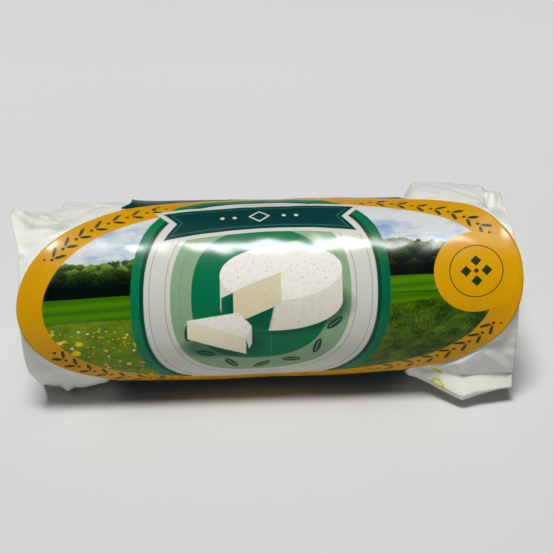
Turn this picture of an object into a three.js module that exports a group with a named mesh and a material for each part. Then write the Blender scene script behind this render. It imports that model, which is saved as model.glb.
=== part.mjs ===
import * as THREE from 'three';

// A soft cheese log in its shut pack: crinkled white paper with box-folded ends, and a printed
// paper band wrapped round it. Millimetres, +Z up. The log lies along X, its printed front faces
// -Y and upward, and the origin is at the middle of the underside.

// Log in its paper
const PAPER_RADIUS = 21.4;
const TAPER = 0.008;              // radius lost for each millimetre from left to right
const FLAT_HALF_ANGLE = 9;        // degrees each side of straight down where the log has sagged flat
const LEFT_RIM = -59.6;
const RIGHT_RIM = 59.6;

// Printed band
const BAND_GAP = 0.3;
const BAND_THICKNESS = 0.5;
const FRONT_TILT = 36;            // degrees that the printed front looks upward
const LABEL_CENTRE = 0.2;
const LABEL_HALF_LENGTH = 60.4;
const LABEL_HALF_HEIGHT = 32.2;   // measured round the log
const LABEL_TURN = -2;            // degrees round the log from the middle of its front to the label's middle
const LABEL_SKEW = 0.116;         // degrees round the log for each millimetre along it
const LABEL_POWER_LEFT = 1.95;    // 2 gives half an ellipse, more a squarer end
const LABEL_POWER_RIGHT = 2.2;
const STRIP_LEFT = -35.5;         // ends of the strip that joins the front's two edges behind the log
const STRIP_RIGHT = 33.3;
const STRIP_SWAY = 2.5;           // how far the strip's left end leans, left under the log, right over it
const STRIP_FLARE = 9;            // degrees over which the strip widens into the front
const FLARE_LENGTH = 2.5;
const PAPER_RISE_START = 2.4;     // distance outside the band where the paper starts to stand proud
const PAPER_RISE_END = 5.5;

// Paper flaps folded over each end. Each is a wedge from the rim to the middle of the end, at an
// angle from straight forward in degrees, and stands proud of the tucks beside it.
const END_FLAPS = [
  { angle: -90, halfWidth: 50, height: 0.8 },
  { angle: 90, halfWidth: 46, height: 1.5 },
];
const FLAP_EDGE = 3;              // degrees over which the edge of a flap steps down
const END_MIDDLE_DROP = 4;        // how far the flaps meet under the axis
const END_SINK = 1.2;             // how far the middle of an end is pressed in
const END_INSET = 1.6;            // how far the whole end lies inside the rim that stands round it
const INSET_SHARE = 0.1;          // share of the way in from the rim over which it steps in

// Mesh
const ROUND_STEPS = 72;
const BAND_STEPS = 12;
const END_RINGS = [0.93, 0.74, 0.5, 0.26];

// The ends and the dog ear are uneven. This brings the middle of the whole pack over the origin.
const SHIFT_X = 0.7;
const SHIFT_Y = 1.15;

const { clamp, degToRad, euclideanModulo, lerp, radToDeg, smoothstep } = THREE.MathUtils;
const BAND_RADIUS = PAPER_RADIUS + BAND_GAP + BAND_THICKNESS;
const AXIS_HEIGHT = BAND_RADIUS * Math.cos(degToRad(FLAT_HALF_ANGLE));
const PAPER_CLEARANCE = BAND_GAP + BAND_THICKNESS;
const END_MIDDLE = AXIS_HEIGHT - END_MIDDLE_DROP;

// Folds of the paper at the two ends. angle is in degrees round the log from the middle of the
// printed front, positive over the top. The fold fades out over the two widths, down and up, and
// along the log it grows from start to full and keeps the share atRim at the end. A fold moves the
// paper out from the axis, or forward and down.
const FOLDS = {
  rightUndersideCrease: { angle: -80, rimAngle: -80, down: 12, up: 40,
    start: 36, full: 47, atRim: 0.9, out: 0, forward: 3.6, drop: 2 },
  rightDogEar: { angle: -90, rimAngle: -90, down: 25, up: 12,
    start: 31, full: 47, atRim: 0.74, out: 0, forward: 12, drop: 0 },
  rightFrontRidge: { angle: 52, rimAngle: 49, down: 26, up: 10,
    start: 46, full: 53, atRim: 1, out: 2, forward: 0, drop: 0 },
  rightRearRidge: { angle: 102, rimAngle: 102, down: 32, up: 40,
    start: 33.5, full: 37.5, atRim: 0.75, out: 5.3, forward: 0, drop: 0 },
  rightRearCorner: { angle: 110, rimAngle: 110, down: 30, up: 42,
    start: 55, full: 58.6, atRim: 1, out: -4, forward: 0, drop: 0 },
  rightTopPleat: { angle: 72, rimAngle: 70, down: 15, up: 22,
    start: 52.5, full: 55.5, atRim: 1, out: -3.8, forward: 0, drop: 0 },
  rightRearEar: { angle: -160, rimAngle: -160, down: 30, up: 30,
    start: 38, full: 52, atRim: 0.8, out: 0, forward: -5.5, drop: 1.2 },
  rightRearFold: { angle: 150, rimAngle: 154, down: 16, up: 16,
    start: 46, full: 54, atRim: 1, out: -1.8, forward: 0, drop: 0 },
  leftFrontRidge: { angle: 46, rimAngle: 56, down: 22, up: 14,
    start: -44, full: -50, atRim: 1, out: 1.6, forward: 0, drop: 0 },
  leftRearBulge: { angle: 105, rimAngle: 105, down: 55, up: 45,
    start: -32, full: -35, atRim: 1, out: 1.1, forward: 0, drop: 0 },
  leftTopPleat: { angle: 88, rimAngle: 92, down: 28, up: 44,
    start: -49.4, full: -51.4, atRim: 1, out: -2.5, forward: 0, drop: 0 },
  leftFrontEar: { angle: -90, rimAngle: -90, down: 22, up: 20,
    start: -34, full: -46, atRim: 0.8, out: 1.6, forward: 0, drop: 0 },
  leftRearEar: { angle: -158, rimAngle: -158, down: 30, up: 30,
    start: -40, full: -52, atRim: 0.8, out: 0, forward: -4.5, drop: 1.2 },
  leftRearFold: { angle: 152, rimAngle: 148, down: 18, up: 18,
    start: -46, full: -54, atRim: 1, out: -1.8, forward: 0, drop: 0 },
};

// Stations along the log, closer together where the folds are
const STATIONS = [0, 0.02, 0.045, 0.07, 0.095, 0.12, 0.15, 0.18, 0.215, 0.26, 0.34, 0.42, 0.5, 0.58, 0.66,
  0.73, 0.77, 0.8, 0.825, 0.85, 0.875, 0.9, 0.92, 0.94, 0.955, 0.97, 0.985, 1];

// Angle difference in degrees, from -180 to 180
function turn(angle, from) {
  return euclideanModulo(angle - from + 180, 360) - 180;
}

function bump(angle, centre, width) {
  return Math.exp(-((turn(angle, centre) / width) ** 2));
}

// Where the band ends along the log, at an angle from the middle of its front
function bandEnd(side, angle) {
  const away = Math.abs(turn(angle, LABEL_TURN));
  const across = away * degToRad(1) * BAND_RADIUS / LABEL_HALF_HEIGHT;
  const power = side > 0 ? LABEL_POWER_RIGHT : LABEL_POWER_LEFT;
  const reach = Math.max(0, 1 - across ** power) ** (1 / power);
  const front = side * LABEL_CENTRE + LABEL_HALF_LENGTH * reach;
  const strip = side > 0 ? STRIP_RIGHT : STRIP_LEFT + STRIP_SWAY * Math.sin(degToRad(angle));
  const corner = LABEL_HALF_HEIGHT * Math.sqrt(1 - ((strip - LABEL_CENTRE) / LABEL_HALF_LENGTH) ** 2);
  const flare = clamp(1 - Math.abs(away - radToDeg(corner / BAND_RADIUS)) / STRIP_FLARE, 0, 1);
  return side * Math.max(front, side * strip + FLARE_LENGTH * flare ** 2);
}

// Distance outside one end of the band, negative under it
function beyondEnd(side, x, angle) {
  const rise = bandEnd(side, angle + 1) - bandEnd(side, angle - 1);
  const slope = rise / (2 * degToRad(1) * BAND_RADIUS);
  return side * (x - bandEnd(side, angle)) / Math.hypot(1, slope);
}

// Distance outside the band's outline, negative under it
function outsideBand(x, angle) {
  const skewed = angle - LABEL_SKEW * (x - LABEL_CENTRE);
  return Math.max(beyondEnd(-1, x, skewed), beyondEnd(1, x, skewed));
}

// Share of the way from where a fold is full to the rim
function pastFull(fold, x) {
  const end = fold.full > 0 ? RIGHT_RIM : LEFT_RIM;
  return clamp((x - fold.full) / (end - fold.full), 0, 1);
}

// Share of a fold at a place along the log
function foldGrowth(fold, x) {
  const grown = clamp((x - fold.start) / (fold.full - fold.start), 0, 1);
  return grown * lerp(1, fold.atRim, pastFull(fold, x));
}

function foldAngle(fold, x) {
  return lerp(fold.angle, fold.rimAngle, pastFull(fold, x));
}

function foldShare(fold, x, angle) {
  const away = turn(angle, foldAngle(fold, x));
  const width = away < 0 ? fold.down : fold.up;
  return foldGrowth(fold, x) * Math.max(0, 1 - Math.abs(away) / width);
}

// Point at a radius, with the soft underside pressed flat at a height over the floor
function pointOnRound(x, angle, radius, floor) {
  const raised = degToRad(angle + FRONT_TILT);
  const z = AXIS_HEIGHT + radius * Math.sin(raised);
  return new THREE.Vector3(x, -radius * Math.cos(raised), Math.max(z, floor));
}

function paperPoint(x, angle) {
  const free = smoothstep(outsideBand(x, angle), PAPER_RISE_START, PAPER_RISE_END);
  const shift = { out: 0, forward: 0, drop: 0 };
  for (const fold of Object.values(FOLDS)) {
    const share = foldShare(fold, x, angle) * (fold.out < 0 ? 1 : free);
    shift.out += share * fold.out;
    shift.forward += share * fold.forward;
    shift.drop += share * fold.drop;
  }
  const point = pointOnRound(x, angle, PAPER_RADIUS - TAPER * x + shift.out, PAPER_CLEARANCE);
  point.y -= shift.forward;
  point.z = Math.max(point.z - shift.drop, PAPER_CLEARANCE);
  return point;
}

// Where the paper turns over the end, at an angle
function rim(side, angle) {
  if (side < 0) {
    return LEFT_RIM - 2.4 * bump(angle, 56, 20) + 3 * bump(angle, -88, 28);
  }
  return RIGHT_RIM - 1.5 * bump(angle, 60, 22) - 0.2 * bump(angle, -92, 18);
}

// How far the folded flaps stand out from the end, in a direction from its middle
function endRelief(raised) {
  let relief = 0;
  for (const flap of END_FLAPS) {
    const inside = flap.halfWidth - Math.abs(turn(raised, flap.angle));
    relief = Math.max(relief, flap.height * smoothstep(inside, -FLAP_EDGE, FLAP_EDGE));
  }
  return relief;
}

// Ring of points on an end, at a share of the way out from its middle
function endRing(side, share) {
  const flat = side > 0 ? RIGHT_RIM : LEFT_RIM;
  const ring = [];
  for (let i = 0; i < ROUND_STEPS; i += 1) {
    const angle = (360 * i) / ROUND_STEPS;
    const edge = paperPoint(rim(side, angle), angle);
    const stepped = (endRelief(angle + FRONT_TILT) - END_INSET) * smoothstep(1 - share, 0, INSET_SHARE);
    const x = lerp(flat, edge.x, share ** 2) - side * END_SINK * (1 - share ** 2);
    ring.push(new THREE.Vector3(x + side * stepped, edge.y * share, lerp(END_MIDDLE, edge.z, share)));
  }
  return ring;
}

function paperRing(station) {
  const ring = [];
  for (let i = 0; i < ROUND_STEPS; i += 1) {
    const angle = (360 * i) / ROUND_STEPS;
    const x = lerp(rim(-1, angle), rim(1, angle), station);
    ring.push(paperPoint(x, angle));
  }
  return ring;
}

function endMiddle(side) {
  const flat = side > 0 ? RIGHT_RIM : LEFT_RIM;
  const stepped = END_FLAPS[1].height - END_INSET - END_SINK;
  return new THREE.Vector3(flat + side * stepped, 0, END_MIDDLE);
}

// Triangles between rings of equal length, each ring closing on itself
function joinRings(indices, first, rings, count, inward) {
  for (let j = 0; j < rings - 1; j += 1) {
    for (let i = 0; i < count; i += 1) {
      const a = first + j * count + i;
      const b = first + j * count + ((i + 1) % count);
      const c = b + count;
      const d = a + count;
      indices.push(...(inward ? [a, b, c, a, c, d] : [a, c, b, a, d, c]));
    }
  }
}

function makeGeometry(points, indices) {
  const geometry = new THREE.BufferGeometry();
  geometry.setFromPoints(points);
  geometry.setIndex(indices);
  geometry.translate(SHIFT_X, SHIFT_Y, 0);
  geometry.computeVertexNormals();
  return geometry;
}

// The log in its paper, one closed skin from the middle of one end to the middle of the other
function paperGeometry() {
  const rings = END_RINGS.slice().reverse().map((share) => endRing(-1, share));
  rings.push(...STATIONS.map(paperRing));
  rings.push(...END_RINGS.map((share) => endRing(1, share)));
  const points = [endMiddle(-1), ...rings.flat(), endMiddle(1)];
  const indices = [];
  joinRings(indices, 1, rings.length, ROUND_STEPS, false);
  const lastRing = points.length - 1 - ROUND_STEPS;
  for (let i = 0; i < ROUND_STEPS; i += 1) {
    const next = (i + 1) % ROUND_STEPS;
    indices.push(0, 1 + i, 1 + next);
    indices.push(points.length - 1, lastRing + next, lastRing + i);
  }
  return makeGeometry(points, indices);
}

// The band round the log: outer face, inner face and the two cut edges
function bandGeometry() {
  const points = [];
  for (const layer of [1, 0]) {
    for (let j = 0; j <= BAND_STEPS; j += 1) {
      for (let i = 0; i < ROUND_STEPS; i += 1) {
        const angle = (360 * i) / ROUND_STEPS;
        const x = lerp(bandEnd(-1, angle), bandEnd(1, angle), j / BAND_STEPS);
        const radius = BAND_RADIUS - TAPER * x - (1 - layer) * BAND_THICKNESS;
        const skewed = angle + LABEL_SKEW * (x - LABEL_CENTRE);
        points.push(pointOnRound(x, skewed, radius, (1 - layer) * BAND_THICKNESS));
      }
    }
  }
  const face = (BAND_STEPS + 1) * ROUND_STEPS;
  const indices = [];
  joinRings(indices, 0, BAND_STEPS + 1, ROUND_STEPS, false);
  joinRings(indices, face, BAND_STEPS + 1, ROUND_STEPS, true);
  for (let i = 0; i < ROUND_STEPS; i += 1) {
    const next = (i + 1) % ROUND_STEPS;
    const last = face - ROUND_STEPS;
    indices.push(i, next, face + next, i, face + next, face + i);
    indices.push(last + i, face + last + next, last + next, last + i, face + last + i, face + last + next);
  }
  return makeGeometry(points, indices);
}

function wrappedLog() {
  const paper = new THREE.MeshStandardMaterial({ color: 0xe6e6df, roughness: 0.45, metalness: 0 });
  const mesh = new THREE.Mesh(paperGeometry(), paper);
  mesh.name = 'wrapped_log';
  return mesh;
}

function printedBand() {
  const print = new THREE.MeshStandardMaterial({ color: 0xd99b0c, roughness: 0.25, metalness: 0 });
  const mesh = new THREE.Mesh(bandGeometry(), print);
  mesh.name = 'printed_band';
  return mesh;
}

const pack = new THREE.Group();
pack.add(wrappedLog());
pack.add(printedBand());

export default pack;
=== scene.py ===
import math
import bmesh
import bpy
import numpy as np
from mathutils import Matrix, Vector, kdtree


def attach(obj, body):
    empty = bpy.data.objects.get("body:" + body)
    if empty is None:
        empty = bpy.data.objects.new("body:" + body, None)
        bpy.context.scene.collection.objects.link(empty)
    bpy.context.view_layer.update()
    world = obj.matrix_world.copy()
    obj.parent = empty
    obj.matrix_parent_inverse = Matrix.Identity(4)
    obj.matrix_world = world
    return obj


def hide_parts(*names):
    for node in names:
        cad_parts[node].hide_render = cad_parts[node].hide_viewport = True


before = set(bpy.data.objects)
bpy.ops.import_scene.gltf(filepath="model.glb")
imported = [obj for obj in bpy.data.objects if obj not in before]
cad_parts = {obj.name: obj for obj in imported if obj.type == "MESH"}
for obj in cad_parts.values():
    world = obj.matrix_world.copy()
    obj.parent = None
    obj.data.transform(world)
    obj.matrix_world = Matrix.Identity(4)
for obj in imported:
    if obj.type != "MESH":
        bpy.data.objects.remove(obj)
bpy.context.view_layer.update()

# A soft cheese log in its shut pack: crinkled white paper with box-folded ends, and a glossy printed
# paper band round it. Lengths are millimetres in the row frame until a mesh is made, then metres.

MM = 0.001

# Log, paper and band, as in the solids
PAPER_RADIUS = 21.4
TAPER = 0.008
FLAT_HALF_ANGLE = 9
LEFT_RIM, RIGHT_RIM = -59.6, 59.6
BAND_GAP, BAND_THICKNESS = 0.3, 0.5
BAND_RADIUS = PAPER_RADIUS + BAND_GAP + BAND_THICKNESS
AXIS_HEIGHT = BAND_RADIUS * math.cos(math.radians(FLAT_HALF_ANGLE))
FRONT_TILT = 36
LABEL_CENTRE, LABEL_HALF_LENGTH, LABEL_HALF_HEIGHT = 0.2, 60.4, 32.2
LABEL_TURN, LABEL_SKEW = -2, 0.116
LABEL_POWER_LEFT, LABEL_POWER_RIGHT = 1.95, 2.2
STRIP_LEFT, STRIP_RIGHT, STRIP_SWAY = -35.5, 33.3, 2.5
STRIP_FLARE, FLARE_LENGTH = 9, 2.5
END_MIDDLE_DROP, END_SINK, END_INSET, FLAP_EDGE = 4, 1.2, 1.6, 0.8
END_FLAPS = ((-90, 50, 0.8), (90, 46, 1.5))
SHIFT_X, SHIFT_Y = 0.7, 1.15

# Fineness of the dressed meshes
PAPER_PITCH, COVERED_PITCH, COVERED_HALF = 0.34, 3.0, 33
PAPER_AROUND, END_RINGS, PINHOLE = 420, 55, 0.004
BAND_AROUND, BAND_ALONG = 360, 190

# The dressed band is thinner than its solid and lies closer to the paper
CARD_THICKNESS = 0.26
PAPER_LIFT = 0.32
PAPER_RISE_START, PAPER_RISE_END = 0.5, 3.2
FLOOR_CLEARANCE = 0.4

# Folds of the paper: angle and rim angle round the log, widths down and up, start and full along the
# log, share kept at the rim, then how far the fold moves the paper out, forward and down
FOLDS = {
    "right underside crease": (-80, -80, 12, 40, 36, 47, 0.9, 0, 3.6, 2.0),
    "right dog ear": (-90, -90, 25, 19, 31, 47, 0.74, 0, 10.6, 1.2),
    "right front ridge": (52, 49, 26, 10, 46, 53, 1, 2, 0, 0),
    "right rear ridge": (102, 102, 32, 40, 33.5, 37.5, 0.75, 5.3, 0, 0),
    "right rear corner": (110, 110, 30, 42, 55, 58.6, 1, -4, 0, 0),
    "right top pleat": (72, 70, 15, 22, 52.5, 55.5, 1, -3.8, 0, 0),
    "right rear ear": (-160, -160, 30, 30, 38, 52, 0.8, 0, -5.5, 1.2),
    "right rear fold": (150, 154, 16, 16, 46, 54, 1, -1.8, 0, 0),
    "left front ridge": (46, 56, 22, 14, -44, -50, 1, 1.6, 0, 0),
    "left rear bulge": (105, 105, 55, 45, -32, -35, 1, 1.1, 0, 0),
    "left top pleat": (88, 92, 28, 44, -49.8, -50.6, 1, -1.7, 0, 0),
    "left front ear": (-90, -90, 22, 20, -34, -46, 0.8, 1.6, 0, 0),
    "left rear ear": (-158, -158, 30, 30, -40, -52, 0.8, 0, -4.5, 1.2),
    "left rear fold": (152, 148, 18, 18, -46, -54, 1, -1.8, 0, 0),
}

# Finer pleats that only the dressed paper has
PLEATS = {
    "right peak": (84, 86, 5, 7, 54.2, 55.4, 0.2, 2.2, 0, 0),
    "right second peak": (96, 98, 6, 10, 56.4, 58, 0.9, 1.3, 0, 0),
    "right gap": (72, 72, 6, 8, 54.5, 57.5, 1, -2.4, 0, 0),
    "right notch": (52, 51, 4, 5, 57.4, 58.6, 1, -1.5, 0, 0),
    "left notch": (86, 90, 26, 30, -51.2, -54.6, 0.3, -0.6, 0, 0),
    "right rear edge": (104, 104, 22, 30, 44, 52, 0, 0.8, 0, 0),
    "left rear slope": (112, 104, 44, 40, -38, -45, 1, -1.1, 0, 0),
    "left step": (112, 106, 34, 30, -49.6, -50.6, 1, -1.9, 0, 0),
    "left rim fold": (50, 60, 5, 16, -53, -58, 1, 0.5, 0, 0),
}

# Long creases seen on the paper: from and to, each a place along the log and an angle round it, then
# the height and the widths below and above the line
CREASES = (
    ((-61.6, 60), (-56.9, 46), 0.9, 0.7, 3.0),
    ((-57.4, 46), (-45.0, 44), 1.1, 0.7, 3.0),
    ((-50.4, -112), (-50.4, -70), 1.1, 1.8, 1.6),
    ((-52.6, 50), (-50.2, 64), 0.6, 1.5, 0.7),
    ((-60.0, 20), (-53.0, 40), -0.35, 1.6, 1.2),
    ((-59.5, 2), (-55.0, 30), 0.3, 0.9, 1.6),
    ((-58.5, -58), (-44.0, -63), 0.45, 1.0, 2.6),
    ((-58.0, -30), (-49.0, -60), -0.35, 1.4, 1.4),
    ((-56.0, 88), (-38.0, 74), 0.4, 1.2, 2.0),
    ((-47.0, 55), (-41.0, 74), -0.4, 1.2, 1.6),
    ((50.5, 53), (58.8, 50), 1.2, 3.2, 0.7),
    ((53.9, 62), (54.4, 96), 0.7, 0.8, 1.6),
    ((54.6, 60), (57.6, 88), 0.8, 1.0, 0.9),
    ((57.2, 40), (56.6, -30), 0.45, 0.9, 2.2),
    ((40.0, 100), (53.0, 76), -0.35, 1.5, 1.5),
    ((49.0, -40), (58.5, -66), 0.5, 1.3, 1.8),
    ((44.0, -60), (50.0, -82), -0.5, 1.2, 1.8),
    ((52.0, -34), (57.5, -48), -0.4, 1.2, 1.2),
    ((38.0, -62), (47.0, -56), 0.35, 1.0, 1.4),
)


# Form of the log

def turn(angle, start):
    return (angle - start + 180) % 360 - 180


def smooth(value, low, high):
    t = np.clip((value - low) / (high - low), 0, 1)
    return t * t * (3 - 2 * t)


def blend(a, b, share):
    return a + (b - a) * share


def bump(angle, centre, width):
    return np.exp(-(turn(angle, centre) / width) ** 2)


def band_end(side, angle):
    """Where the band ends along the log, at an angle from the middle of the front."""
    away = np.abs(turn(angle, LABEL_TURN))
    across = np.radians(away) * BAND_RADIUS / LABEL_HALF_HEIGHT
    power = LABEL_POWER_RIGHT if side > 0 else LABEL_POWER_LEFT
    front = side * LABEL_CENTRE + LABEL_HALF_LENGTH * np.clip(1 - across ** power, 0, None) ** (1 / power)
    strip = STRIP_RIGHT if side > 0 else STRIP_LEFT + STRIP_SWAY * np.sin(np.radians(angle))
    corner = LABEL_HALF_HEIGHT * np.sqrt(1 - ((strip - LABEL_CENTRE) / LABEL_HALF_LENGTH) ** 2)
    flare = np.clip(1 - np.abs(away - np.degrees(corner / BAND_RADIUS)) / STRIP_FLARE, 0, 1)
    return side * np.maximum(front, side * strip + FLARE_LENGTH * flare ** 2)


def outside_band(x, angle):
    """Distance outside the band's outline, negative under it."""
    skewed = angle - LABEL_SKEW * (x - LABEL_CENTRE)
    beyond = []
    for side in (-1, 1):
        rise = band_end(side, skewed + 1) - band_end(side, skewed - 1)
        slope = rise / (2 * math.radians(1) * BAND_RADIUS)
        beyond.append(side * (x - band_end(side, skewed)) / np.hypot(1, slope))
    return np.maximum(*beyond)


def fold_share(fold, x, angle):
    at, rim_at, down, up, start, full, at_rim = fold[:7]
    end = RIGHT_RIM if full > 0 else LEFT_RIM
    past = np.clip((x - full) / (end - full), 0, 1)
    grown = np.clip((x - start) / (full - start), 0, 1) * blend(1, at_rim, past)
    away = turn(angle, blend(at, rim_at, past))
    return grown * np.clip(1 - np.abs(away) / np.where(away < 0, down, up), 0, None)


def on_round(x, angle, radius, floor):
    """Points at a radius from the axis, with the soft underside pressed flat."""
    raised = np.radians(angle + FRONT_TILT)
    z = AXIS_HEIGHT + radius * np.sin(raised)
    return np.stack(np.broadcast_arrays(x, -radius * np.cos(raised), np.maximum(z, floor)), -1)


def rim(side, angle):
    if side < 0:
        return LEFT_RIM - 2.4 * bump(angle, 56, 20) + 3 * bump(angle, -88, 28)
    return RIGHT_RIM - 1.5 * bump(angle, 60, 22) - 0.2 * bump(angle, -92, 18)


# Wrinkles

def unrolled(x, angle):
    """Places round a plain cylinder, so that a wrinkle meets itself all the way round."""
    a = np.radians(angle)
    return np.stack(np.broadcast_arrays(x, BAND_RADIUS * np.cos(a), BAND_RADIUS * np.sin(a)), -1)


def zigzag(phase):
    return np.arcsin(np.sin(phase)) * 2 / math.pi


def swell(places, wavelengths, seed, count=9, wave_form=np.sin):
    """Uneven waves, about -1 to 1. With the zigzag form they make flat facets between straight creases."""
    draw = np.random.default_rng(seed)
    total = np.zeros(places.shape[:-1])
    for _ in range(count):
        direction = draw.normal(size=3)
        direction /= np.linalg.norm(direction)
        wave = draw.uniform(*wavelengths)
        total += wave_form(places @ direction * 2 * math.pi / wave + draw.uniform(0, 2 * math.pi))
    return total / math.sqrt(count)


def facets(places, cell, width, seed):
    """Straight ridges with sharp tops, 1 on a ridge, between flat facets at 0."""
    draw = np.random.default_rng(seed)
    flat = places.reshape(-1, 3)
    low, high = flat[:, 0].min() - cell, flat[:, 0].max() + cell
    count = int((high - low) * 2 * math.pi * BAND_RADIUS / cell ** 2)
    seeds = unrolled(draw.uniform(low, high, count), draw.uniform(-180, 180, count))
    tree = kdtree.KDTree(count)
    for i, spot in enumerate(seeds):
        tree.insert(spot, i)
    tree.balance()
    near = np.array([[found[2] for found in tree.find_n(spot, 2)] for spot in flat])
    return np.clip(1 - (near[:, 1] - near[:, 0]) / width, 0, None).reshape(places.shape[:-1])


def crease(x, angle, line):
    """One straight crease that fades out at both ends."""
    (x0, a0), (x1, a1), height, below, above = line
    around = math.radians(1) * BAND_RADIUS
    run_x, run_s = x1 - x0, (a1 - a0) * around
    length = math.hypot(run_x, run_s)
    dx, ds = x - x0, turn(angle, a0) * around
    run = (dx * run_x + ds * run_s) / length ** 2
    off = (ds * run_x - dx * run_s) / length * math.copysign(1, run_x)
    tent = np.clip(1 - np.abs(off) / np.where(off < 0, below, above), 0, None)
    return height * tent * smooth(run, -0.12, 0.1) * smooth(run, 1.12, 0.9)


def random_creases(side, count, seed):
    draw = np.random.default_rng(seed)
    lines = []
    for _ in range(count):
        x0, a0 = side * draw.uniform(34, 60), draw.uniform(-180, 180)
        heading = draw.uniform(0, 2 * math.pi)
        length = draw.uniform(5, 17)
        x1 = x0 + length * math.cos(heading)
        a1 = a0 + math.degrees(length * math.sin(heading) / BAND_RADIUS)
        below, above = draw.uniform(0.5, 1.1), draw.uniform(0.7, 2.4)
        lines.append(((x0, a0), (x1, a1), draw.choice((-1, 1)) * draw.uniform(0.08, 0.3), below, above))
    return lines


def wrinkles(x, angle):
    places = unrolled(x, angle)
    large = facets(places, 11.0, 2.6, 3) * swell(places, (12, 30), 41) * 0.26
    small = facets(places, 5.0, 1.7, 4) * swell(places, (8, 20), 42) * 0.13
    broad = swell(places, (14, 34), 5, 7, zigzag) * 0.42
    fine = swell(places, (5, 11), 6, 7, zigzag) * 0.08
    lines = sum(crease(x, angle, line) for line in random_creases(-1, 34, 11) + random_creases(1, 34, 12))
    return large + small + broad + fine + lines - 0.15


def paper_points(x, angle):
    outside = outside_band(x, angle)
    free = smooth(outside, PAPER_RISE_START, PAPER_RISE_END)
    loose = smooth(outside, 0, 1.2)
    out = (wrinkles(x, angle) + sum(crease(x, angle, line) for line in CREASES)) * free
    forward = drop = 0
    for fold in list(FOLDS.values()) + list(PLEATS.values()):
        share = fold_share(fold, x, angle)
        out = out + share * fold[7] * (1 if fold[7] < 0 else free)
        forward = forward + share * fold[8] * loose
        drop = drop + share * fold[9] * loose
    under = smooth(outside, 2.0, -0.5)
    points = on_round(x, angle, PAPER_RADIUS + PAPER_LIFT * under - TAPER * x + out, FLOOR_CLEARANCE)
    points[..., 1] -= forward
    points[..., 2] = np.maximum(points[..., 2] - drop, FLOOR_CLEARANCE)
    return points


def end_relief(raised):
    relief = 0
    for at, half_width, height in END_FLAPS:
        within = half_width - np.abs(turn(raised, at))
        relief = np.maximum(relief, height * smooth(within, -FLAP_EDGE, FLAP_EDGE))
    return relief


def end_ring(side, share, angle):
    """Ring on an end, at a share of the way out from its middle."""
    edge = paper_points(rim(side, angle), angle)
    flat = RIGHT_RIM if side > 0 else LEFT_RIM
    wave = 0.5 * swell(np.stack([edge[..., 0], edge[..., 1] * share, edge[..., 2] * share], -1), (7, 18), 21)
    wave = wave * (1 - share ** 6) * min(1, share * 3)
    inner = smooth(1 - share, 0, 0.1)
    raised = end_relief(angle + FRONT_TILT) * inner * min(1, share * 6)
    sunk = END_SINK * (1 - share ** 2) + END_INSET * inner
    x = blend(flat, edge[..., 0], share ** 2) + side * (raised + wave - sunk)
    z = blend(AXIS_HEIGHT - END_MIDDLE_DROP, edge[..., 2], share)
    return np.stack([x, edge[..., 1] * share, z], -1)


# Meshes

UV_LENGTH, UV_ROUND = 128.0, 142.0


def grid_object(name, rows, angles, along, inward=False):
    """A closed skin from rings of points. The rings run along the log and close round it."""
    count = len(angles) - 1
    points = (np.concatenate(rows) + (SHIFT_X, SHIFT_Y, 0)) * MM
    ring = np.arange(len(rows) - 1)[:, None] * count
    i = np.arange(count)[None, :]
    j = (i + 1) % count
    quads = np.stack([ring + i, ring + count + i, ring + count + j, ring + j], -1).reshape(-1, 4)
    if inward:
        quads = quads[:, ::-1]
    mesh = bpy.data.meshes.new(name)
    mesh.from_pydata(points.tolist(), [], quads.tolist())
    v = np.radians(angles) * BAND_RADIUS / UV_ROUND + 0.5
    v_low, v_high = np.broadcast_arrays(v[:-1], v[1:])
    u = np.asarray(along) / UV_LENGTH + 0.5
    uv = np.empty((len(rows) - 1, count, 4, 2))
    for corner, (du, vv) in enumerate(((0, v_low), (1, v_low), (1, v_high), (0, v_high))):
        uv[:, :, corner, 0] = u[du:len(rows) - 1 + du]
        uv[:, :, corner, 1] = vv[None, :]
    if inward:
        uv = uv[:, :, ::-1]
    layer = mesh.uv_layers.new(name="Unrolled")
    layer.data.foreach_set("uv", uv.ravel())
    obj = bpy.data.objects.new(name, mesh)
    bpy.context.scene.collection.objects.link(obj)
    return obj


def steps(low, high, pitch):
    return np.linspace(low, high, max(2, int(round((high - low) / pitch)) + 1))


def build_paper():
    angles = np.linspace(-180, 180, PAPER_AROUND + 1)
    ring_angles = angles[:-1]
    left = steps(LEFT_RIM, -COVERED_HALF, PAPER_PITCH)
    middle = steps(-COVERED_HALF, COVERED_HALF, COVERED_PITCH)[1:-1]
    right = steps(COVERED_HALF, RIGHT_RIM, PAPER_PITCH)
    x = np.concatenate([left, middle, right])
    share = (x - LEFT_RIM) / (RIGHT_RIM - LEFT_RIM)
    low, high = rim(-1, ring_angles), rim(1, ring_angles)
    places = blend(low[None, :], high[None, :], share[:, None])
    body = paper_points(places, np.broadcast_to(ring_angles, places.shape))
    shares = np.linspace(0, 1, END_RINGS + 1)[:-1]
    shares[0] = PINHOLE
    rows = [end_ring(-1, s, ring_angles) for s in shares]
    along = [np.full(PAPER_AROUND, LEFT_RIM - (1 - s) * PAPER_RADIUS) for s in shares]
    rows += list(body)
    along += list(places)
    rows += [end_ring(1, s, ring_angles) for s in shares[::-1]]
    along += [np.full(PAPER_AROUND, RIGHT_RIM + (1 - s) * PAPER_RADIUS) for s in shares[::-1]]
    obj = grid_object("wrapping_paper", rows, angles, np.array(along))
    close_ends(obj, PAPER_AROUND, len(rows))
    return obj


def close_ends(obj, count, rings):
    """Closes the pinhole in the middle of each end."""
    mesh = obj.data
    work = bmesh.new()
    work.from_mesh(mesh)
    work.verts.ensure_lookup_table()
    first = [work.verts[i] for i in range(count)]
    last = [work.verts[(rings - 1) * count + i] for i in range(count)]
    work.faces.new(first)
    work.faces.new(last[::-1])
    work.to_mesh(mesh)
    work.free()


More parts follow.
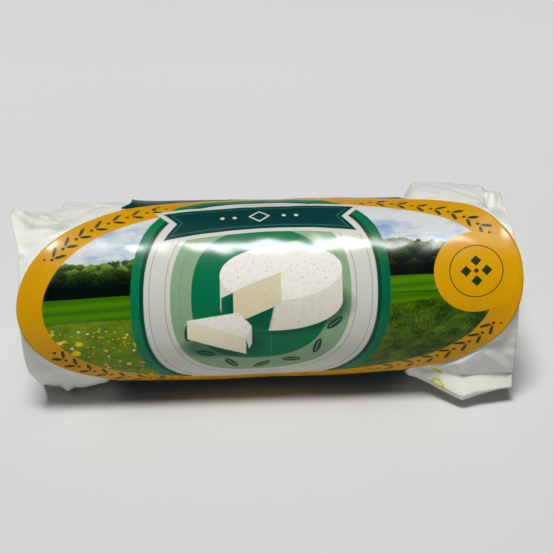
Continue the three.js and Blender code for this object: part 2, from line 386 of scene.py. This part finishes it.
def band_lift(x, angle):
    """How far the card stands off a plain round: slow dents, and edges that curl up a little."""
    places = unrolled(x, angle)
    within = -outside_band(x, angle)
    curl = np.clip(1 - within / 4, 0, 1) ** 2
    ragged = 0.5 + 0.5 * swell(places, (12, 30), 31)
    corner = bump(angle, 74, 12) * np.clip(1 - within / 9, 0, 1) ** 2 * (x < 0)
    lifted = bump(angle, 56, 17) * smooth(x, 38, 56)
    dents = 0.09 * swell(places, (18, 45), 32) + 0.035 * swell(places, (5, 9), 33)
    return dents + curl * (0.1 + 0.3 * np.abs(ragged)) + 0.4 * corner + 1.3 * lifted


def band_face(name, angles, depth):
    """One face of the card, at a depth under its printed face."""
    ring_angles = angles[:-1]
    rows, along = [], []
    for j in range(BAND_ALONG + 1):
        x = blend(band_end(-1, ring_angles), band_end(1, ring_angles), j / BAND_ALONG)
        skewed = ring_angles + LABEL_SKEW * (x - LABEL_CENTRE)
        radius = BAND_RADIUS - TAPER * x - depth + band_lift(x, skewed)
        rows.append(on_round(x, skewed, radius, depth))
        along.append(x)
    return grid_object(name, rows, angles, np.array(along), inward=depth > 0)


def build_band():
    angles = np.linspace(-180, 180, BAND_AROUND + 1)
    outer = band_face("printed_band_sheet", angles, 0)
    inner = band_face("band_inner", angles, CARD_THICKNESS)
    join_band(outer, inner, BAND_AROUND, BAND_ALONG + 1)
    return outer


def join_band(outer, inner, count, rings):
    """Joins the printed face and the plain back face along the cut edges."""
    work = bmesh.new()
    work.from_mesh(outer.data)
    work.from_mesh(inner.data)
    work.verts.ensure_lookup_table()
    work.faces.ensure_lookup_table()
    printed_faces = (rings - 1) * count
    for face in work.faces[printed_faces:]:
        face.material_index = 1
    face_verts = rings * count
    for ring, flip in ((0, False), (rings - 1, True)):
        for i in range(count):
            j = (i + 1) % count
            a, b = ring * count + i, ring * count + j
            quad = [work.verts[k] for k in (a, b, b + face_verts, a + face_verts)]
            edge = work.faces.new(quad[::-1] if flip else quad)
            edge.material_index = 1
    work.to_mesh(outer.data)
    work.free()
    bpy.data.objects.remove(inner)


# Materials

def ink(red, green, blue):
    """A colour as it looks, 0 to 255, turned into light."""
    def light(value):
        value /= 255
        return value / 12.92 if value <= 0.04045 else ((value + 0.055) / 1.055) ** 2.4
    return (light(red), light(green), light(blue), 1)


class Field:
    """A number that varies over a surface. Ordinary arithmetic on it makes shader nodes."""
    nodes = links = None

    def __init__(self, socket):
        self.socket = socket

    @classmethod
    def math(cls, operation, *values, clamp=False):
        node = cls.nodes.new("ShaderNodeMath")
        node.operation = operation
        node.use_clamp = clamp
        for socket, value in zip(node.inputs, values):
            if isinstance(value, Field):
                cls.links.new(value.socket, socket)
            else:
                socket.default_value = value
        return Field(node.outputs[0])

    def __add__(self, other):
        return Field.math("ADD", self, other)

    __radd__ = __add__

    def __sub__(self, other):
        return Field.math("SUBTRACT", self, other)

    def __rsub__(self, other):
        return Field.math("SUBTRACT", other, self)

    def __mul__(self, other):
        return Field.math("MULTIPLY", self, other)

    __rmul__ = __mul__

    def __truediv__(self, other):
        return Field.math("DIVIDE", self, other)

    def __neg__(self):
        return Field.math("MULTIPLY", self, -1)


def least(a, b):
    return Field.math("MINIMUM", a, b)


def most(a, b):
    return Field.math("MAXIMUM", a, b)


def size(a):
    return Field.math("ABSOLUTE", a)


def hypot(a, b):
    return Field.math("SQRT", Field.math("MULTIPLY_ADD", a, a, b * b))


def inside(distance, soft=0.12):
    """1 where the distance is negative, 0 where it is positive."""
    return Field.math("MULTIPLY_ADD", distance, -1 / soft, 0.5, clamp=True)


def ellipse(x, y, at, half, turned=0):
    """Distance from an ellipse, near enough close to its line."""
    dx, dy = x - at[0], y - at[1]
    if turned:
        c, s = math.cos(math.radians(turned)), math.sin(math.radians(turned))
        dx, dy = dx * c + dy * s, dy * c - dx * s
    return (hypot(dx / half[0], dy / half[1]) - 1) * min(half)


def box(x, y, at, half):
    dx = size(x - at[0]) - half[0]
    dy = size(y - at[1]) - half[1]
    return hypot(most(dx, 0), most(dy, 0)) + least(most(dx, dy), 0)


def lozenge(x, y, at, half, power):
    """Distance from a rounded box between an ellipse and a rectangle."""
    dx = Field.math("POWER", size(x - at[0]) / half[0], power)
    dy = Field.math("POWER", size(y - at[1]) / half[1], power)
    return (Field.math("POWER", dx + dy, 1 / power) - 1) * min(half)


def unrolled_coordinates():
    """Millimetres along the log and round it, from the unrolled map."""
    uv = Field.nodes.new("ShaderNodeUVMap")
    uv.uv_map = "Unrolled"
    split = Field.nodes.new("ShaderNodeSeparateXYZ")
    Field.links.new(uv.outputs[0], split.inputs[0])
    x = Field.math("MULTIPLY_ADD", Field(split.outputs[0]), UV_LENGTH, -UV_LENGTH / 2)
    y = Field.math("MULTIPLY_ADD", Field(split.outputs[1]), UV_ROUND, -UV_ROUND / 2)
    return x, y


def place(x, y):
    node = Field.nodes.new("ShaderNodeCombineXYZ")
    Field.links.new(x.socket, node.inputs[0])
    Field.links.new(y.socket, node.inputs[1])
    return node.outputs[0]


def noise(vector, scale, detail, roughness):
    node = Field.nodes.new("ShaderNodeTexNoise")
    Field.links.new(vector, node.inputs["Vector"])
    node.inputs["Scale"].default_value = scale
    node.inputs["Detail"].default_value = detail
    node.inputs["Roughness"].default_value = roughness
    return Field(node.outputs["Fac"])


def cells(vector, scale):
    """Scattered spots: the outputs hold how far the nearest one is, its colour and its place."""
    node = Field.nodes.new("ShaderNodeTexVoronoi")
    Field.links.new(vector, node.inputs["Vector"])
    node.inputs["Scale"].default_value = scale
    return node.outputs


class Paint:
    """Layers of colour, one over another."""

    def __init__(self, colour):
        self.colour = colour

    def over(self, colour, mask):
        node = Field.nodes.new("ShaderNodeMix")
        node.data_type = "RGBA"
        Field.links.new(mask.socket, node.inputs[0])
        for socket, value in ((node.inputs[6], self.colour), (node.inputs[7], colour)):
            if isinstance(value, tuple):
                socket.default_value = value
            else:
                Field.links.new(value, socket)
        self.colour = node.outputs[2]
        return self


def two_tone(dark, light, share):
    return Paint(dark).over(light, share).colour


def new_material(name):
    material = bpy.data.materials.new(name)
    material.use_nodes = True
    tree = material.node_tree
    Field.nodes, Field.links = tree.nodes, tree.links
    return material, tree.nodes["Principled BSDF"]


def add_bump(shader, height, strength, distance):
    node = Field.nodes.new("ShaderNodeBump")
    node.inputs["Strength"].default_value = strength
    node.inputs["Distance"].default_value = distance
    Field.links.new(height.socket, node.inputs["Height"])
    Field.links.new(node.outputs[0], shader.inputs["Normal"])


AMBER = ink(214, 156, 2)
AMBER_DEEP = ink(203, 146, 2)
TEAL = ink(0, 56, 54)
GREEN = ink(3, 116, 73)
DARK_GREEN = ink(0, 68, 46)
CORE_GREEN = ink(4, 110, 71)
SAGE = ink(134, 166, 128)
WHITE = ink(206, 206, 197)
MARK = ink(34, 54, 18)
PRINTED_SHADE = ink(0, 66, 46)
GREY_LINE, SAGE_LINE = ink(120, 140, 118), ink(112, 150, 108)

WINDOW_CENTRE, WINDOW_HALF = (-0.1, -0.6), (54.1, 26.6)
BADGE_CENTRE, BADGE_HALF, BADGE_POWER = (-2.3, -0.6), (31.0, 32.0), 2.35
BORDER_CENTRE, BORDER_HALF, BORDER_STEPS = (0.8, -0.3), (57.2, 29.4), 62
DISC_CENTRE, DISC_RADIUS, DISC_RING = (49.4, 1.6), 10.2, 6.4
RIBBON_RISE, RIBBON_HALF_HEIGHT, RIBBON_HALF_LENGTH = 21.2, 4.5, 23.4


def spread(value, low, high):
    """0 at low to 1 at high."""
    return Field.math("MULTIPLY_ADD", value, 1 / (high - low), -low / (high - low), clamp=True)


def crowns(x, y, scale, shift):
    """Round tree tops lit from above: how far into a crown, and how light."""
    height = y * 1.1 + shift
    spots = cells(place(x + shift, height), scale)
    split = Field.nodes.new("ShaderNodeSeparateXYZ")
    Field.links.new(spots["Position"], split.inputs[0])
    return Field(spots["Distance"]), height - Field(split.outputs[1])


def landscape(x, y):
    """Sky, hills, woods, a mown meadow and flowered grass, level with the label."""
    spot = place(x, y)
    cloud = noise(place(x * 0.45, y * 1.2), 0.2, 4, 0.55)
    paint = Paint(two_tone(ink(126, 158, 198), ink(208, 213, 212), spread(cloud + y * 0.004, 0.36, 0.58)))
    hill = Field.math("SINE", x * 0.075 + 0.6) * 1.3 + Field.math("SINE", x * 0.19 + 2.0) * 0.6
    ragged = noise(spot, 0.6, 4, 0.6)
    far = y - (hill + 9.6 + ragged * 3.2)
    near_top, lit = crowns(x, y, 0.5, 11.0)
    leaves = noise(spot, 2.2, 4, 0.7)
    hills = two_tone(ink(36, 62, 14), ink(112, 142, 48), spread(lit * 0.5 + leaves, 0.2, 1.0))
    paint.over(hills, inside(far + near_top * 1.5, 0.4))
    crown, above = crowns(x, y, 0.26, 3.0)
    wood = y - (hill * 0.9 + 9.0 - crown * 3.2 + leaves * 2.6)
    shade = spread(above * 0.16 + leaves * 1.6 - 0.1, 0.5, 1.2) * spread(y, 4.2, 10.5)
    paint.over(two_tone(ink(2, 12, 6), ink(78, 118, 26), shade), inside(wood, 0.6))
    meadow = y - (hill * 0.2 + 1.6)
    stripes = Field.math("SINE", (y * 2.4 - x * 0.03) + noise(place(x * 0.1, y), 0.5, 2, 0.5) * 2.0)
    tint = two_tone(ink(44, 100, 2), ink(80, 132, 4), spread(stripes, -1.6, 1.2))
    paint.over(tint, inside(meadow, 0.2))
    path = size(y - x * 0.02 + 3.2 - hill * 0.3) - 0.22
    paint.over(ink(30, 74, 4), inside(path, 0.4) * inside(meadow) * 0.8)
    field = y - (hill * -0.5 - 4.4)
    blades = noise(place(x * 1.5, y * 0.8), 1.5, 5, 0.75)
    patches = noise(place(x * 0.7, y), 0.3, 3, 0.6)
    grass = spread(blades + patches * 0.7 - x * 0.003, 0.62, 1.15)
    paint.over(two_tone(ink(18, 56, 2), ink(120, 150, 14), grass), inside(field, 0.5))
    flowers(paint, x, y, field)
    return paint.colour


def flowers(paint, x, y, field):
    """Heads scattered in the grass, larger toward the front."""
    kinds = (
        (0.24, 1.0, 0.26, 0.50, ink(236, 206, 14)),
        (0.40, 5.0, 0.24, 0.48, ink(222, 188, 10)),
        (0.46, 9.0, 0.18, 0.40, ink(226, 226, 210)),
        (0.80, 14.0, 0.26, 0.50, ink(190, 170, 30)),
    )
    dense = inside(x, 30.0)
    for scale, shift, radius, keep, tint in kinds:
        spots = cells(place(x + shift, y * 1.4 + shift), scale)
        chosen = Field.nodes.new("ShaderNodeSeparateColor")
        Field.links.new(spots["Color"], chosen.inputs[0])
        heads = inside(Field(spots["Distance"]) - radius, 0.06)
        kept = inside(Field(chosen.outputs[0]) - dense * keep, 0.02)
        paint.over(tint, heads * kept * inside(field + 1.6, 0.4))


def polygon(x, y, corners):
    """Distance from a convex shape, its corners given anticlockwise."""
    shape = None
    for (x0, y0), (x1, y1) in zip(corners, corners[1:] + corners[:1]):
        length = math.hypot(x1 - x0, y1 - y0)
        nx, ny = (y1 - y0) / length, (x0 - x1) / length
        side = x * nx + y * ny - (x0 * nx + y0 * ny)
        shape = side if shape is None else most(shape, side)
    return shape


def badge(paint, x, y, window):
    """The rounded shield in the middle: green edge, white and sage bands and a deep green heart."""
    edge = lozenge(x, y, BADGE_CENTRE, BADGE_HALF, BADGE_POWER)
    over = inside(least(window, -y))
    for colour, inset in ((GREEN, 0.0), (WHITE, 3.0), (SAGE, 9.4), (CORE_GREEN, 14.4)):
        paint.over(colour, inside(edge + inset) * over)
    paint.over(DARK_GREEN, inside(size(edge + 2.6) - 0.5, 0.3) * over)
    paint.over(DARK_GREEN, inside(size(edge + 1.5) - 1.4, 0.3) * spread(x, 20.0, 30.0) * over * 0.6)
    thin_lines = ((GREY_LINE, 4.4, 0.07), (GREY_LINE, 8.2, 0.07), (SAGE_LINE, 11.6, 0.08))
    for colour, inset, half_width in thin_lines:
        paint.over(colour, inside(size(edge + inset) - half_width, 0.1) * over)


def leaf(paint, x, y, at, long, wide, turned, colour):
    blade = ellipse(x, y, at, (long, wide), turned)
    paint.over(colour, inside(blade))
    c, s = math.cos(math.radians(turned)), math.sin(math.radians(turned))
    vein = size((y - at[1]) * c - (x - at[0]) * s) - 0.09
    paint.over(WHITE, inside(most(vein, blade + wide * 0.3), 0.1) * 0.6)


def sprigs(paint, x, y):
    """Seven small leaves in a row under the cheese."""
    for step in range(7):
        turned = math.radians(204 + 22 * step)
        at = (BADGE_CENTRE[0] + 19.2 * math.cos(turned), BADGE_CENTRE[1] + 20.0 * math.sin(turned))
        lean = 28 if step % 2 else -28
        leaf(paint, x, y, at, 2.3, 0.85, math.degrees(turned) + 90 + lean, DARK_GREEN)


def lowered(point, depth):
    return (point[0], point[1] - depth)


def cheese_motif(paint, x, y):
    """A plain round of soft cheese with a wedge cut out of it, the wedge, and leaf sprigs."""
    sprigs(paint, x, y)
    spot = place(x, y)
    fleck = spread(noise(spot, 1.1, 5, 0.72), 0.56, 0.66)
    veins = spread(noise(place(x * 0.7, y * 1.5), 0.9, 5, 0.7), 0.60, 0.72)
    rind = two_tone(ink(238, 236, 226), ink(206, 196, 172), fleck)
    rind = Paint(rind).over(ink(150, 112, 78), veins * 0.75).colour
    streaked = noise(place(x * 1.6, y * 0.4), 0.6, 3, 0.6)
    side_tone = two_tone(ink(206, 200, 184), ink(232, 228, 214), streaked)
    grain = noise(spot, 0.8, 4, 0.6)
    crumb = two_tone(ink(226, 216, 180), ink(244, 237, 212), grain)
    cut = two_tone(ink(206, 194, 158), ink(228, 218, 186), grain)
    cheese_round(paint, x, y, rind, side_tone, veins, crumb, cut)
    cheese_wedge(paint, x, y, rind, side_tone, crumb)


def cheese_round(paint, x, y, rind, side_tone, veins, crumb, cut):
    centre, half, deep = (2.6, 4.6), (14.6, 6.8), 7.6
    shade_at = (centre[0] + 1.0, centre[1] - deep - 1.2)
    paint.over(PRINTED_SHADE, inside(ellipse(x, y, shade_at, (half[0] + 1.0, half[1])), 1.6) * 0.75)
    lid = ellipse(x, y, centre, half)
    foot = ellipse(x, y, lowered(centre, deep), half)
    wall = box(x, y, lowered(centre, deep / 2), (half[0], deep / 2))
    standing = least(foot, wall)
    paint.over(side_tone, inside(standing))
    paint.over(ink(168, 140, 106), inside(standing) * veins * 0.7)
    paint.over(rind, inside(lid))

    def on_lid(turned, reach=1.0):
        a = math.radians(turned)
        return (centre[0] + half[0] * reach * math.cos(a), centre[1] + half[1] * reach * math.sin(a))

    left, right = on_lid(-142), on_lid(-96)
    far_left, far_right = on_lid(-142, 1.25), on_lid(-96, 1.25)
    gone = polygon(x, y, [centre, far_left, lowered(far_left, 12), lowered(far_right, 12), far_right])
    paint.over(CORE_GREEN, inside(gone) * inside(least(lid, standing) - 0.4))
    paint.over(ink(0, 74, 52), inside(gone, 1.5) * inside(foot + 0.5, 1.0) * 0.7)
    paint.over(cut, inside(polygon(x, y, [left, lowered(left, deep), lowered(centre, deep), centre])))
    bright = inside(polygon(x, y, [centre, lowered(centre, deep), lowered(right, deep), right]))
    paint.over(crumb, bright)
    slope = (right[1] - centre[1]) / (right[0] - centre[0])
    paint.over(WHITE, bright * inside(size((y - centre[1]) - (x - centre[0]) * slope) - 0.5))


def cheese_wedge(paint, x, y, rind, side_tone, crumb):
    tip, near, away, thick = (-20.0, -5.6), (-6.0, -11.4), (-7.6, -4.4), 4.8
    paint.over(PRINTED_SHADE, inside(ellipse(x, y, (-11.6, -13.0), (9.6, 3.6)), 1.5) * 0.7)
    paint.over(crumb, inside(polygon(x, y, [tip, lowered(tip, thick), lowered(near, thick), near])))
    back_side = [near, lowered(near, thick), (-4.6, -12.8), (-4.6, -8.0), away]
    paint.over(side_tone, inside(polygon(x, y, back_side)))
    paint.over(rind, inside(polygon(x, y, [tip, near, (-4.8, -8.4), away])))


def ribbon(paint, x, y):
    """A blank dark ribbon with a white outline, bowed upward, its two ends notched."""
    off = size(x + 2.0)
    bow = y + off * off * 0.0042
    rise = size(bow - RIBBON_RISE)
    notch = (RIBBON_HALF_HEIGHT - rise) * 0.75
    shape = most(rise - RIBBON_HALF_HEIGHT, (off + notch - RIBBON_HALF_LENGTH) * 0.8)
    paint.over(WHITE, inside(shape - 1.1))
    paint.over(TEAL, inside(shape))
    paint.over(ink(36, 104, 90), inside(size(shape + 1.0) - 0.14, 0.1))
    paint.over(WHITE, inside(size(off * 0.8 + rise - 1.9) - 0.25))
    for offset in (6.0, 9.0):
        paint.over(WHITE, inside(ellipse(off, bow, (offset, RIBBON_RISE), (0.5, 0.5))))


def disc(paint, x, y):
    """The plain amber disc at the right: a ring round four small diamonds."""
    dx, dy = x - DISC_CENTRE[0], y - DISC_CENTRE[1]
    out = hypot(dx, dy)
    paint.over(AMBER, inside(out - DISC_RADIUS))
    paint.over(MARK, inside(size(out - DISC_RING) - 0.12, 0.1))
    for right, up in ((0, 2.5), (0, -2.5), (2.5, 0), (-2.5, 0)):
        paint.over(MARK, inside(size(dx - right) + size(dy - up) - 1.35))
    paint.over(MARK, inside(out - 0.55))


def ornaments(paint, x, y):
    """Pairs of small leaves with beads between them, in four runs along the amber border."""
    long, high = BORDER_HALF
    dx, dy = (x - BORDER_CENTRE[0]) / long, (y - BORDER_CENTRE[1]) / high
    sweep = Field.math("ARCTAN2", dy, dx)
    out = hypot(dx, dy)
    ring = (out - 1) * out / hypot(dx / long, dy / high)
    step = 2 * math.pi / BORDER_STEPS
    local = Field.math("FRACT", sweep / step + 100.0) - 0.5
    speed = hypot(Field.math("SINE", sweep) * long, Field.math("COSINE", sweep) * high)
    reach = speed * step
    along = local * reach - (out - 1) * dx * dy * (long ** 2 - high ** 2) / speed
    slant = size(ring) - 1.0 + along * 0.6
    blade = (hypot(along / 1.2, slant / 0.5) - 1) * 0.5
    bead = (hypot((size(along) - reach * 0.5) / 0.42, ring / 0.42) - 1) * 0.42
    turned = size(size(sweep) - math.pi / 2)
    runs = inside(0.42 - turned, 0.02) * inside(turned - 1.18, 0.02)
    paint.over(MARK, inside(least(blade, bead), 0.1) * runs)


def label_shape(x, y, middle, half):
    """The lens of the band's front, fuller to the right than to the left."""
    left = most(lozenge(x, y, middle, half, LABEL_POWER_LEFT), x)
    right = most(lozenge(x, y, middle, half, LABEL_POWER_RIGHT), -x)
    return least(left, right)


def back_panel(paint, x, y):
    """Behind the log: dark teal, with a blank pale panel and thin rules."""
    beyond = label_shape(x, y, (LABEL_CENTRE, 0), (LABEL_HALF_LENGTH, LABEL_HALF_HEIGHT))
    paint.over(TEAL, inside(0.4 - beyond))
    across = 71.0 - size(y)
    paint.over(ink(216, 228, 206), inside(most(size(x) - 25.0, across - 17.0)))
    paint.over(GREEN, inside(size(most(size(x) - 26.6, across - 18.6)) - 0.3))
    for level in (3.0, 9.0):
        rule = size(across - level) - 0.16
        paint.over(ink(90, 140, 110), inside(most(rule, size(x) - 20.0), 0.1))


def label_material():
    material, shader = new_material("glossy_printed_card")
    x, along = unrolled_coordinates()
    y = along - LABEL_TURN * math.radians(1) * BAND_RADIUS
    window = label_shape(x, y, WINDOW_CENTRE, WINDOW_HALF)
    paint = Paint(landscape(x, y))
    paint.over(two_tone(AMBER_DEEP, AMBER, noise(place(x, y), 0.12, 2, 0.5)), inside(-window))
    ornaments(paint, x, y)
    badge(paint, x, y, window)
    cheese_motif(paint, x, y)
    ribbon(paint, x, y)
    disc(paint, x, y)
    back_panel(paint, x, y)
    Field.links.new(paint.colour, shader.inputs["Base Color"])
    brushed = noise(place(x * 2.2, y * 0.3), 1.0, 4, 0.7)
    grain = noise(place(x, y), 2.6, 3, 0.6)
    add_bump(shader, brushed + grain * 0.35, 0.30, 0.0003)
    Field.links.new(spread(brushed, -1.2, 3.4).socket, shader.inputs["Roughness"])
    shader.inputs["Specular IOR Level"].default_value = 0.05
    shader.inputs["Coat Weight"].default_value = 0.22
    shader.inputs["Coat Roughness"].default_value = 0.18
    return material


def card_back_material():
    material, shader = new_material("plain_card_back")
    x, y = unrolled_coordinates()
    fibre = noise(place(x, y), 2.5, 4, 0.6)
    Field.links.new(two_tone(ink(212, 208, 196), ink(232, 230, 220), fibre), shader.inputs["Base Color"])
    add_bump(shader, fibre, 0.3, 0.0002)
    shader.inputs["Roughness"].default_value = 0.75
    return material


def paper_material():
    """White coated wrapping paper with a sparse lime print of rings and slanting leaves."""
    material, shader = new_material("white_wrapping_paper")
    x, y = unrolled_coordinates()
    coordinate = Field.nodes.new("ShaderNodeTexCoord").outputs["Object"]
    cloudy = noise(coordinate, 60.0, 3, 0.6)
    paint = Paint(two_tone(ink(214, 215, 206), ink(229, 230, 222), cloudy))
    first_x, first_y = 41.0, -31.5
    pitch_x, pitch_y, column_shift = 20.6, 27.0, 21.5
    column = Field.math("FLOOR", (x - first_x) / pitch_x + 0.5)
    cx = x - first_x - column * pitch_x
    turns = (y - first_y - column * column_shift) / pitch_y
    cy = Field.math("FRACT", turns + 50.5) * pitch_y - pitch_y / 2
    ring = size(ellipse(cx, cy, (0.2, 0.2), (1.3, 1.6))) - 0.36
    low_leaf = ellipse(cx, cy, (0.6, -4.4), (1.7, 0.6), 35)
    high_leaf = ellipse(cx, cy, (-0.2, 4.4), (1.7, 0.6), -30)
    shapes = most(least(ring, least(low_leaf, high_leaf)), size(x - 12.0) - 48.0)
    paint.over(ink(210, 210, 24), inside(shapes, 0.2) * 0.9)
    Field.links.new(paint.colour, shader.inputs["Base Color"])
    fine = noise(coordinate, 900.0, 3, 0.6)
    crinkle = noise(coordinate, 240.0, 4, 0.62)
    add_bump(shader, crinkle + fine * 0.2, 0.16, 0.0004)
    Field.links.new(spread(cloudy, -1.3, 3.0).socket, shader.inputs["Roughness"])
    shader.inputs["Specular IOR Level"].default_value = 0.15
    shader.inputs["Coat Weight"].default_value = 0.03
    shader.inputs["Coat Roughness"].default_value = 0.2
    return material


def floor_material():
    """A pale table top, a little lighter toward the back: painted light that falls off toward the front."""
    material, shader = new_material("pale_tabletop")
    coordinate = Field.nodes.new("ShaderNodeTexCoord").outputs["Object"]
    tone = noise(coordinate, 6.0, 2, 0.5)
    split = Field.nodes.new("ShaderNodeSeparateXYZ")
    Field.links.new(coordinate, split.inputs[0])
    # Painted light: the near part of the table top is painted darker and the far part lighter.
    away = spread(Field(split.outputs["Y"]), -0.11, 0.15)
    paint = Paint(two_tone(ink(204, 204, 203), ink(209, 209, 208), tone))
    paint.over(two_tone(ink(222, 222, 222), ink(227, 227, 227), tone), away)
    Field.links.new(paint.colour, shader.inputs["Base Color"])
    shader.inputs["Roughness"].default_value = 0.7
    return material


# Stage, light and camera

FLOOR_HALF_M = 3.0
PANEL_LEAN, PANEL_DISTANCE_M, PANEL_SIDE_M = 13, 2.2, -0.22
PANEL_SIZE_M, PANEL_WATTS = (0.64, 0.50), 45.5
LAMP_PLACE_M, LAMP_SIZE_M, LAMP_WATTS = (0.07, 0.035, 1.15), (0.26, 0.15), 18.0
ROOM_STRENGTH = 0.08
AZIMUTH, ELEVATION, DISTANCE = -2.6, 36.0, 450.0
PIXELS_PER_MM, FRAME_PIXELS = 4.0, 554
AXIS_PIXEL = (267.5, 288.0)


def build_floor():
    half = FLOOR_HALF_M
    mesh = bpy.data.meshes.new("tabletop")
    corners = [(-half, -half, 0), (half, -half, 0), (half, half, 0), (-half, half, 0)]
    mesh.from_pydata(corners, [], [(0, 1, 2, 3)])
    floor = bpy.data.objects.new("tabletop", mesh)
    bpy.context.scene.collection.objects.link(floor)
    mesh.materials.append(floor_material())


def area_light(name, place_m, aim_m, width, depth, watts):
    data = bpy.data.lights.new(name, "AREA")
    data.shape = "RECTANGLE"
    data.size, data.size_y = width, depth
    data.energy = watts
    light = bpy.data.objects.new(name, data)
    light.location = place_m
    light.rotation_mode = "QUATERNION"
    light.rotation_quaternion = (Vector(aim_m) - Vector(place_m)).to_track_quat("-Z", "Y")
    bpy.context.scene.collection.objects.link(light)
    return light


def build_lights():
    middle = (SHIFT_X * MM, SHIFT_Y * MM, AXIS_HEIGHT * MM)
    lean = math.radians(PANEL_LEAN)
    over = (PANEL_SIDE_M, -PANEL_DISTANCE_M * math.sin(lean), PANEL_DISTANCE_M * math.cos(lean))
    panel = area_light("soft_panel", over, middle, *PANEL_SIZE_M, PANEL_WATTS)
    panel.visible_glossy = False
    lamp = area_light("ceiling_lamp", LAMP_PLACE_M, middle, *LAMP_SIZE_M, LAMP_WATTS)
    lamp.visible_diffuse = False
    world = bpy.data.worlds.new("soft_room")
    bpy.context.scene.world = world
    world.use_nodes = True
    background = world.node_tree.nodes["Background"]
    background.inputs["Color"].default_value = (0.96, 0.98, 1.0, 1)
    background.inputs["Strength"].default_value = ROOM_STRENGTH


def build_camera():
    a, e = math.radians(AZIMUTH), math.radians(ELEVATION)
    back = Vector((math.sin(a) * math.cos(e), -math.cos(a) * math.cos(e), math.sin(e)))
    right = Vector((math.cos(a), math.sin(a), 0))
    up = back.cross(right)
    middle = FRAME_PIXELS / 2
    shift = right * (middle - AXIS_PIXEL[0]) + up * (AXIS_PIXEL[1] - middle)
    data = bpy.data.cameras.new("photo_camera")
    data.sensor_width = 36.0
    data.lens = data.sensor_width * PIXELS_PER_MM * DISTANCE / FRAME_PIXELS
    camera = bpy.data.objects.new("photo_camera", data)
    camera.location = (Vector((SHIFT_X, SHIFT_Y, AXIS_HEIGHT)) + back * DISTANCE + shift / PIXELS_PER_MM) * MM
    camera.rotation_mode = "QUATERNION"
    camera.rotation_quaternion = (-back).to_track_quat("-Z", "Y")
    bpy.context.scene.collection.objects.link(camera)
    bpy.context.scene.camera = camera


def smooth_faces(obj):
    obj.data.polygons.foreach_set("use_smooth", [True] * len(obj.data.polygons))


def main():
    paper = build_paper()
    paper.data.materials.append(paper_material())
    smooth_faces(paper)
    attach(paper, "root")
    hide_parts("wrapped_log")

    band = build_band()
    band.data.materials.append(label_material())
    band.data.materials.append(card_back_material())
    smooth_faces(band)
    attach(band, "root")
    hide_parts("printed_band")

    build_floor()
    build_lights()
    build_camera()
    bpy.context.scene.view_settings.view_transform = "Standard"


main()
